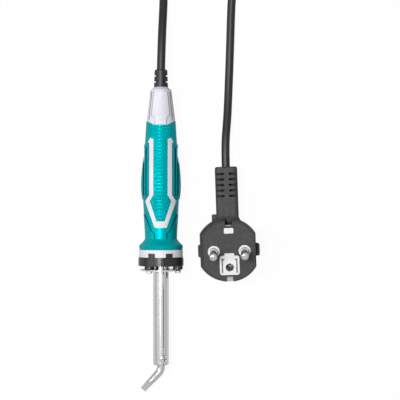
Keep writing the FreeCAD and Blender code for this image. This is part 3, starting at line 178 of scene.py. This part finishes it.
# --- moulded texture of the grip and the cap ------------------------------------------
SCALE_ACROSS = 1.75 * MM
SCALE_ALONG = 2.1 * MM
SCALE_RADIUS = 1.12 * MM
SCALE_HEIGHT = 0.42 * MM
STRIPE_INNER = 4.4 * MM
STRIPE_TOP = 73.0 * MM
KNEE_INNER = 6.6 * MM
KNEE_STATION = 34.8 * MM
KNEE_RISE = 3.8 * MM
BAR_INNER = 2.55 * MM
BAR_TOP = 22.3 * MM
UPPER_HALF_WIDTH = 8.36 * MM
CAP_EDGE = 81.4 * MM
CAP_TEXTURE_START = CAP_EDGE + 3 * MM
CAP_TEXTURE_END = 101.5 * MM
TEXTURE_EDGE = 0.95 * MM
DOT_PITCH = 1.05 * MM
DOT_RADIUS = 0.36 * MM
DOT_HEIGHT = 0.26 * MM
DOT_HALF_WIDTH = 1.8 * MM
SCALE_CORNERS = 6
DOT_CORNERS = 8
# Rings of a dome from its foot up: (share of the radius, share of the height).
DOME_RINGS = ((1.0, -0.35), (0.62, 0.7))
DOME_LEAN = 0.25
PROBE_HEIGHT = 0.1


# --- node helpers ---------------------------------------------------------------------
def new_material(name, colour, roughness, metallic=0.0):
    material = bpy.data.materials.new(name)
    material.use_nodes = True
    shader = material.node_tree.nodes["Principled BSDF"]
    shader.inputs["Base Color"].default_value = (*colour, 1.0)
    shader.inputs["Roughness"].default_value = roughness
    shader.inputs["Metallic"].default_value = metallic
    shader.inputs["Specular IOR Level"].default_value = PLAIN_SPECULAR
    return material, material.node_tree, shader


def object_coordinates(tree, stretch=(1, 1, 1)):
    texture = tree.nodes.new("ShaderNodeTexCoord")
    mapping = tree.nodes.new("ShaderNodeMapping")
    mapping.inputs["Scale"].default_value = stretch
    tree.links.new(texture.outputs["Object"], mapping.inputs["Vector"])
    return mapping.outputs["Vector"]


def noise(tree, scale, detail, stretch=(1, 1, 1)):
    texture = tree.nodes.new("ShaderNodeTexNoise")
    texture.inputs["Scale"].default_value = scale
    texture.inputs["Detail"].default_value = detail
    tree.links.new(object_coordinates(tree, stretch), texture.inputs["Vector"])
    return texture.outputs["Fac"]


def ramp(tree, source, low, high, low_colour, high_colour):
    node = tree.nodes.new("ShaderNodeValToRGB")
    node.color_ramp.elements[0].position = low
    node.color_ramp.elements[1].position = high
    node.color_ramp.elements[0].color = (*low_colour, 1)
    node.color_ramp.elements[1].color = (*high_colour, 1)
    tree.links.new(source, node.inputs["Fac"])
    return node.outputs["Color"]


def grey(value):
    return (value, value, value)


def add_bump(tree, shader, height, strength, distance):
    bump = tree.nodes.new("ShaderNodeBump")
    bump.inputs["Strength"].default_value = strength
    bump.inputs["Distance"].default_value = distance
    tree.links.new(height, bump.inputs["Height"])
    tree.links.new(bump.outputs["Normal"], shader.inputs["Normal"])


def vary_colour(tree, shader, scale, dark, light, stretch=(1, 1, 1)):
    source = noise(tree, scale, NOISE_DETAIL, stretch)
    tint = ramp(tree, source, NOISE_LOW, NOISE_HIGH, dark, light)
    tree.links.new(tint, shader.inputs["Base Color"])


def paint_crevice_shade(tree, shader, reach, depth, closed, open_from):
    """Paint shade into the base colour where surfaces close in within a reach."""
    colour = shader.inputs["Base Color"].links[0].from_socket
    nearness = tree.nodes.new("ShaderNodeAmbientOcclusion")
    nearness.samples = CREVICE_SAMPLES
    nearness.inputs["Distance"].default_value = reach
    shade = ramp(tree, nearness.outputs["AO"], closed, open_from, grey(1 - depth), grey(1.0))
    mix = tree.nodes.new("ShaderNodeMix")
    mix.data_type = "RGBA"
    mix.blend_type = "MULTIPLY"
    mix.inputs["Factor"].default_value = 1.0
    tree.links.new(colour, mix.inputs["A"])
    tree.links.new(shade, mix.inputs["B"])
    tree.links.new(mix.outputs["Result"], shader.inputs["Base Color"])


def vary_roughness(tree, shader, scale, low, high, stretch=(1, 1, 1)):
    source = noise(tree, scale, NOISE_DETAIL, stretch)
    tint = ramp(tree, source, NOISE_LOW, NOISE_HIGH, grey(low), grey(high))
    tree.links.new(tint, shader.inputs["Roughness"])


def scaled_value(tree, source, factor):
    product = tree.nodes.new("ShaderNodeMath")
    product.operation = "MULTIPLY"
    product.inputs[1].default_value = factor
    tree.links.new(source, product.inputs[0])
    return product.outputs[0]


def scaled(colour, factor):
    return tuple(channel * factor for channel in colour)


# --- materials --------------------------------------------------------------------------
def moulded(name, colour, roughness, grain=2500, strength=0.15):
    material, tree, shader = new_material(name, colour, roughness)
    dark, light = (scaled(colour, share) for share in TINT_RANGE)
    vary_colour(tree, shader, TINT_SCALE, dark, light)
    low, high = (roughness + step for step in ROUGHNESS_SPREAD)
    vary_roughness(tree, shader, ROUGHNESS_SCALE, low, high)
    add_bump(tree, shader, noise(tree, grain, GRAIN_DETAIL), strength, GRAIN_DEPTH)
    return material


def glossy_moulded(name, colour, roughness, shine):
    material, tree, shader = new_material(name, colour, roughness)
    dark, light = (scaled(colour, share) for share in GLOSSY_TINT_RANGE)
    vary_colour(tree, shader, TINT_SCALE, dark, light)
    vary_roughness(tree, shader, GLOSSY_ROUGHNESS_SCALE, roughness, roughness + GLOSSY_SPREAD)
    add_bump(tree, shader, noise(tree, GLOSSY_GRAIN, GLOSSY_DETAIL), GLOSSY_BUMP, GRAIN_DEPTH)
    shader.inputs["Specular IOR Level"].default_value = shine
    return material


def rubbery(name, colour, roughness, grain, strength):
    material = moulded(name, colour, roughness, grain, strength)
    shader = material.node_tree.nodes["Principled BSDF"]
    shader.inputs["Specular IOR Level"].default_value = RUBBER_SPECULAR
    return material


def mottled(name, colour, roughness, grain, strength):
    """Rubbery moulding whose tone drifts over a few millimetres."""
    material = rubbery(name, colour, roughness, grain, strength)
    shader = material.node_tree.nodes["Principled BSDF"]
    dark, light = (scaled(colour, share) for share in MOTTLE_RANGE)
    vary_colour(material.node_tree, shader, MOTTLE_SCALE, dark, light)
    return material


def pearl_moulded(name, colour, roughness, grain, strength):
    """Moulded plastic with a fine pearl pigment that tints its highlights."""
    material = rubbery(name, colour, roughness, grain, strength)
    shader = material.node_tree.nodes["Principled BSDF"]
    shader.inputs["Metallic"].default_value = PEARL_SHARE
    shader.inputs["Specular Tint"].default_value = (*scaled(colour, PEARL_TINT), 1)
    return material


def polished_metal(name, colour, roughness, stretch=(1, 1, 1), grain=600, strength=0.05):
    material, tree, shader = new_material(name, colour, roughness, 1.0)
    vary_colour(tree, shader, METAL_TINT_SCALE, scaled(colour, METAL_TINT), colour, stretch)
    low, high = (roughness * share for share in METAL_ROUGHNESS_RANGE)
    vary_roughness(tree, shader, grain, low, high, stretch)
    add_bump(tree, shader, noise(tree, grain, METAL_DETAIL, stretch), strength, METAL_DEPTH)
    return material


def braided(name, colour):
    material, tree, shader = new_material(name, colour, SLEEVE_ROUGHNESS)
    wave = tree.nodes.new("ShaderNodeTexWave")
    wave.inputs["Scale"].default_value = SLEEVE_BANDS
    wave.bands_direction = "DIAGONAL"
    tree.links.new(object_coordinates(tree), wave.inputs["Vector"])
    add_bump(tree, shader, wave.outputs["Fac"], SLEEVE_BUMP, SLEEVE_DEPTH)
    return material


def make_materials():
    made = plain_materials()
    # Painted crevice shade: an occlusion ramp multiplies a darker tone into the base colour of
    # each listed slot.
    for name, (reach, depth, closed, open_from) in PAINTED_CREVICE_SHADE.items():
        tree = made[name].node_tree
        paint_crevice_shade(tree, tree.nodes["Principled BSDF"], reach, depth, closed, open_from)
    return made


def plain_materials():
    return {
        "core_white": moulded("core_white", (0.74, 0.74, 0.8), 0.42),
        "grip_teal": pearl_moulded("grip_teal", (0.0, 0.37, 0.4), 0.36, 1800, 0.2),
        "relief_black": glossy_moulded("relief_black", (0.006, 0.006, 0.007), 0.4, 0.5),
        "shield_black": moulded("shield_black", (0.022, 0.022, 0.023), 0.25, 1200, 0.15),
        "flange_chrome": polished_metal("flange_chrome", (0.82, 0.82, 0.83), 0.12),
        "screw_steel": polished_metal("screw_steel", (0.78, 0.78, 0.79), 0.18),
        "barrel_steel": polished_metal(
            "barrel_steel", (0.78, 0.78, 0.78), 0.13, ALONG_BARREL, 500, 0.006,
        ),
        "tip_plated": polished_metal(
            "tip_plated", (0.68, 0.67, 0.66), 0.16, grain=300, strength=0.006,
        ),
        "brass": polished_metal("brass", (0.8, 0.6, 0.25), 0.25),
        "steel_plain": polished_metal("steel_plain", (0.55, 0.55, 0.56), 0.35),
        "ceramic": moulded("ceramic", (0.8, 0.78, 0.7), 0.6, 1500, 0.3),
        "winding_wire": polished_metal("winding_wire", (0.35, 0.33, 0.3), 0.4),
        # Mica in a dark grey-brown, kept darker than bare mica so it gives painted shade in the
        # barrel seam, the only place it shows.
        "mica": moulded("mica", (0.18, 0.17, 0.15), 0.4, 700, 0.3),
        "lead_sleeve": braided("lead_sleeve", (0.7, 0.68, 0.6)),
        "core_insulation": moulded("core_insulation", (0.25, 0.12, 0.06), 0.45),
        "cord_black": glossy_moulded("cord_black", (0.004, 0.004, 0.005), 0.44, 0.52),
        "plug_black": mottled("plug_black", (0.058, 0.058, 0.06), 0.55, 900, 0.7),
        "insert_white": moulded("insert_white", (0.8, 0.8, 0.83), 0.4),
        "pin_plated": polished_metal("pin_plated", (0.68, 0.67, 0.66), 0.13),
        "tie_black": moulded("tie_black", (0.03, 0.03, 0.03), 0.4),
    }


def dress_nodes(materials):
    """Every CAD node keeps its shape and takes its slot's material."""
    for subpart in frame["record"]["subparts"]:
        for slot in nodes[subpart["node"]].material_slots:
            slot.material = materials[subpart["material_slot"]]


# --- cord ----------------------------------------------------------------------------------
def coil_points():
    sweep = COIL_ENTRY_ANGLE - COIL_EXIT_ANGLE + 360 * COIL_WHOLE_TURNS
    outer = COIL_MIDDLE_RADIUS + COIL_LAYER_TURNS * CORD_RADIUS
    inner = COIL_MIDDLE_RADIUS - COIL_LAYER_TURNS * CORD_RADIUS
    points = []
    for step in range(COIL_STEPS + 1):
        share = step / COIL_STEPS
        inward = 1 - abs(2 * share - 1)
        radius = outer + (inner - outer) * inward
        climb = min(max((share - CLIMB_START) / CLIMB_SHARE, 0), 1)
        height = CORD_LIE + COIL_LAYER_HEIGHT * climb
        angle = math.radians(COIL_ENTRY_ANGLE - sweep * share)
        spoke = Vector((math.cos(angle), math.sin(angle), 0))
        points.append(COIL_CENTRE + spoke * radius + Vector((0, 0, height)))
    return points


def plug_point(along):
    turned = Vector((-along * math.sin(PLUG_YAW), along * math.cos(PLUG_YAW), GUARD_AXIS_HEIGHT))
    return PLUG_PLACE + turned


def cord_points():
    exit_point = Vector((0, RELIEF_HIGH.y, AXIS_HEIGHT))
    points = [exit_point]
    points += [Vector((x * MM, RELIEF_HIGH.y + y * MM, z * MM)) for x, y, z in IRON_SIDE_ROUTE]
    points += coil_points()
    points += [Vector(point) * MM for point in PLUG_SIDE_ROUTE]
    points += [plug_point(GUARD_END + GUARD_RUN), plug_point(GUARD_END)]
    return points


def make_cord(materials):
    points = cord_points()
    curve = bpy.data.curves.new("mains_cord", "CURVE")
    curve.dimensions = "3D"
    curve.bevel_depth = CORD_RADIUS
    curve.bevel_resolution = CORD_SIDES
    curve.resolution_u = CORD_STEPS
    curve.use_fill_caps = True
    spline = curve.splines.new("NURBS")
    spline.points.add(len(points) - 1)
    for place, point in zip(spline.points, points):
        place.co = (*point, 1)
    spline.order_u = 3
    spline.use_endpoint_u = True
    cord = bpy.data.objects.new("mains_cord", curve)
    bpy.context.collection.objects.link(cord)
    curve.materials.append(materials["cord_black"])
    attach(cord, BODY)
    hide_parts("cord_iron_side", "cord_plug_side", "cord_coil")
    return cord


# --- moulded texture ---------------------------------------------------------------------------
def surface_below(tree, x, y, side):
    """Point of a CAD surface met from above (side 1) or from below (side -1)."""
    hit = tree.ray_cast(Vector((x, y, side * PROBE_HEIGHT)), Vector((0, 0, -side)))
    return None if hit[0] is None else hit[0]


def add_dome(shape, tree, centre, side, radius, height, corners):
    """Low dome laid on the surface, its top set towards +Y like an overlapping scale."""
    rings = []
    for share, rise in DOME_RINGS:
        ring = []
        for corner in range(corners):
            angle = 2 * math.pi * (corner + 0.5) / corners
            x = centre.x + share * radius * math.cos(angle)
            y = centre.y + share * radius * math.sin(angle)
            foot = surface_below(tree, x, y, side)
            if foot is None or abs(foot.z - centre.z) > radius:
                return
            ring.append(shape.verts.new(foot + Vector((0, 0, side * rise * height))))
        rings.append(ring)
    foot = surface_below(tree, centre.x, centre.y + DOME_LEAN * radius, side)
    top = shape.verts.new(foot + Vector((0, 0, side * height)))
    outer, inner = rings
    for corner in range(corners):
        following = (corner + 1) % corners
        shape.faces.new((outer[corner], outer[following], inner[following], inner[corner]))
        shape.faces.new((inner[corner], inner[following], top))


def textured_patch(name, node, fits, spacing, radius, height, corners, material):
    """Staggered domes over the part of a node where fits(x, station) holds."""
    tree = BVHTree.FromObject(nodes[node], bpy.context.evaluated_depsgraph_get())
    shape = bmesh.new()
    low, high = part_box(node)
    rows = int((high.y - low.y) / spacing[1])
    columns = int(high.x / spacing[0])
    for side in (1, -1):
        for row in range(rows):
            station = low.y + row * spacing[1]
            for column in range(-columns, columns + 1):
                x = (column + 0.5 * (row % 2)) * spacing[0]
                if not fits(abs(x), station - FRONT):
                    continue
                centre = surface_below(tree, x, station, side)
                if centre is not None:
                    add_dome(shape, tree, centre, side, radius, height, corners)
    bmesh.ops.recalc_face_normals(shape, faces=shape.faces)
    data = bpy.data.meshes.new(name)
    shape.to_mesh(data)
    shape.free()
    for face in data.polygons:
        face.use_smooth = True
    patch = bpy.data.objects.new(name, data)
    bpy.context.collection.objects.link(patch)
    data.materials.append(material)
    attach(patch, BODY)
    return patch


def inside_stripe(x, station):
    """True well inside the outline stripe or between the stripe and the cap."""
    if station < BAR_TOP + TEXTURE_EDGE or station > CAP_EDGE - TEXTURE_EDGE:
        return False
    if station > STRIPE_TOP + TEXTURE_EDGE:
        return x < UPPER_HALF_WIDTH
    if station > KNEE_STATION + KNEE_RISE:
        return x < STRIPE_INNER - TEXTURE_EDGE
    if station > KNEE_STATION:
        share = (station - KNEE_STATION) / KNEE_RISE
        return x < KNEE_INNER + (STRIPE_INNER - KNEE_INNER) * share - TEXTURE_EDGE
    share = (station - BAR_TOP) / (KNEE_STATION - BAR_TOP)
    return x < BAR_INNER + (KNEE_INNER - BAR_INNER) * share - TEXTURE_EDGE


def cap_middle(x, station):
    return x < DOT_HALF_WIDTH and CAP_TEXTURE_START < station < CAP_TEXTURE_END


def make_textures(materials):
    textured_patch(
        "grip_scales", "grip_sleeve", inside_stripe, (SCALE_ACROSS, SCALE_ALONG),
        SCALE_RADIUS, SCALE_HEIGHT, SCALE_CORNERS, materials["grip_teal"],
    )
    textured_patch(
        "cap_dots", "handle_core", cap_middle, (DOT_PITCH, DOT_PITCH),
        DOT_RADIUS, DOT_HEIGHT, DOT_CORNERS, materials["core_white"],
    )


# --- studio -----------------------------------------------------------------------------------
def make_floor():
    data = bpy.data.meshes.new("floor")
    half = FLOOR_HALF
    corners = [(-half, -half, 0), (half, -half, 0), (half, half, 0), (-half, half, 0)]
    data.from_pydata(corners, [], [(0, 1, 2, 3)])
    floor = bpy.data.objects.new("floor", data)
    bpy.context.collection.objects.link(floor)
    material = bpy.data.materials.new("floor")
    material.use_nodes = True
    tree = material.node_tree
    tree.nodes.clear()
    output = tree.nodes.new("ShaderNodeOutputMaterial")
    path = tree.nodes.new("ShaderNodeLightPath")
    tint = tree.nodes.new("ShaderNodeMix")
    tint.data_type = "RGBA"
    tint.inputs["A"].default_value = (*grey(FLOOR_BOUNCE), 1)
    tint.inputs["B"].default_value = (*grey(FLOOR_WHITE), 1)
    tree.links.new(path.outputs["Is Camera Ray"], tint.inputs["Factor"])
    diffuse = tree.nodes.new("ShaderNodeBsdfDiffuse")
    tree.links.new(tint.outputs["Result"], diffuse.inputs["Color"])
    glow = tree.nodes.new("ShaderNodeEmission")
    glow.inputs["Strength"].default_value = 1.0
    camera_share = scaled_value(tree, path.outputs["Is Camera Ray"], FLOOR_GLOW)
    glossy_share = scaled_value(tree, path.outputs["Is Glossy Ray"], FLOOR_GLOSS)
    share = tree.nodes.new("ShaderNodeMath")
    share.operation = "MAXIMUM"
    tree.links.new(camera_share, share.inputs[0])
    tree.links.new(glossy_share, share.inputs[1])
    mix = tree.nodes.new("ShaderNodeMixShader")
    tree.links.new(share.outputs[0], mix.inputs["Fac"])
    tree.links.new(diffuse.outputs[0], mix.inputs[1])
    tree.links.new(glow.outputs[0], mix.inputs[2])
    tree.links.new(mix.outputs[0], output.inputs["Surface"])
    data.materials.append(material)


def add_area_light(name, place, target, size, power):
    light = bpy.data.lights.new(name, "AREA")
    light.shape = "RECTANGLE"
    light.size = size[0]
    light.size_y = size[1]
    light.energy = power
    lamp = bpy.data.objects.new(name, light)
    lamp.location = place
    lamp.rotation_euler = (Vector(target) - Vector(place)).to_track_quat("-Z", "Y").to_euler()
    bpy.context.collection.objects.link(lamp)


def make_world():
    """Plain white room: dim for diffuse light, brighter overhead in reflections."""
    world = bpy.data.worlds.new("studio")
    world.use_nodes = True
    tree = world.node_tree
    plain = tree.nodes["Background"]
    plain.inputs["Color"].default_value = (1, 1, 1, 1)
    plain.inputs["Strength"].default_value = WORLD_STRENGTH
    glossy = tree.nodes.new("ShaderNodeBackground")
    texture = tree.nodes.new("ShaderNodeTexCoord")
    split = tree.nodes.new("ShaderNodeSeparateXYZ")
    tree.links.new(texture.outputs["Generated"], split.inputs[0])
    horizon, zenith = grey(HORIZON_GLOSS), grey(ZENITH_GLOSS)
    shade = ramp(tree, split.outputs["Z"], SKY_LOW, SKY_HIGH, horizon, zenith)
    tree.links.new(shade, glossy.inputs["Color"])
    path = tree.nodes.new("ShaderNodeLightPath")
    mix = tree.nodes.new("ShaderNodeMixShader")
    tree.links.new(path.outputs["Is Glossy Ray"], mix.inputs["Fac"])
    tree.links.new(plain.outputs[0], mix.inputs[1])
    tree.links.new(glossy.outputs[0], mix.inputs[2])
    seen = tree.nodes.new("ShaderNodeBackground")
    final = tree.nodes.new("ShaderNodeMixShader")
    tree.links.new(path.outputs["Is Camera Ray"], final.inputs["Fac"])
    tree.links.new(mix.outputs[0], final.inputs[1])
    tree.links.new(seen.outputs[0], final.inputs[2])
    seen.inputs["Color"].default_value = (1, 1, 1, 1)
    tree.links.new(final.outputs[0], tree.nodes["World Output"].inputs["Surface"])
    return world


def make_studio():
    bpy.context.scene.world = make_world()
    add_area_light("key", KEY_PLACE, KEY_TARGET, KEY_SIZE, KEY_POWER)
    add_area_light("strip", STRIP_PLACE, STRIP_TARGET, STRIP_SIZE, STRIP_POWER)
    make_floor()


def make_camera():
    data = bpy.data.cameras.new("camera")
    data.lens = LENS
    data.sensor_width = SENSOR_WIDTH
    camera = bpy.data.objects.new("camera", data)
    camera.location = CAMERA_PLACE
    camera.rotation_euler = (0, 0, 0)
    bpy.context.collection.objects.link(camera)
    bpy.context.scene.camera = camera
    bpy.context.scene.view_settings.view_transform = "Standard"


def main():
    materials = make_materials()
    dress_nodes(materials)
    make_cord(materials)
    make_textures(materials)
    make_studio()
    make_camera()


main()
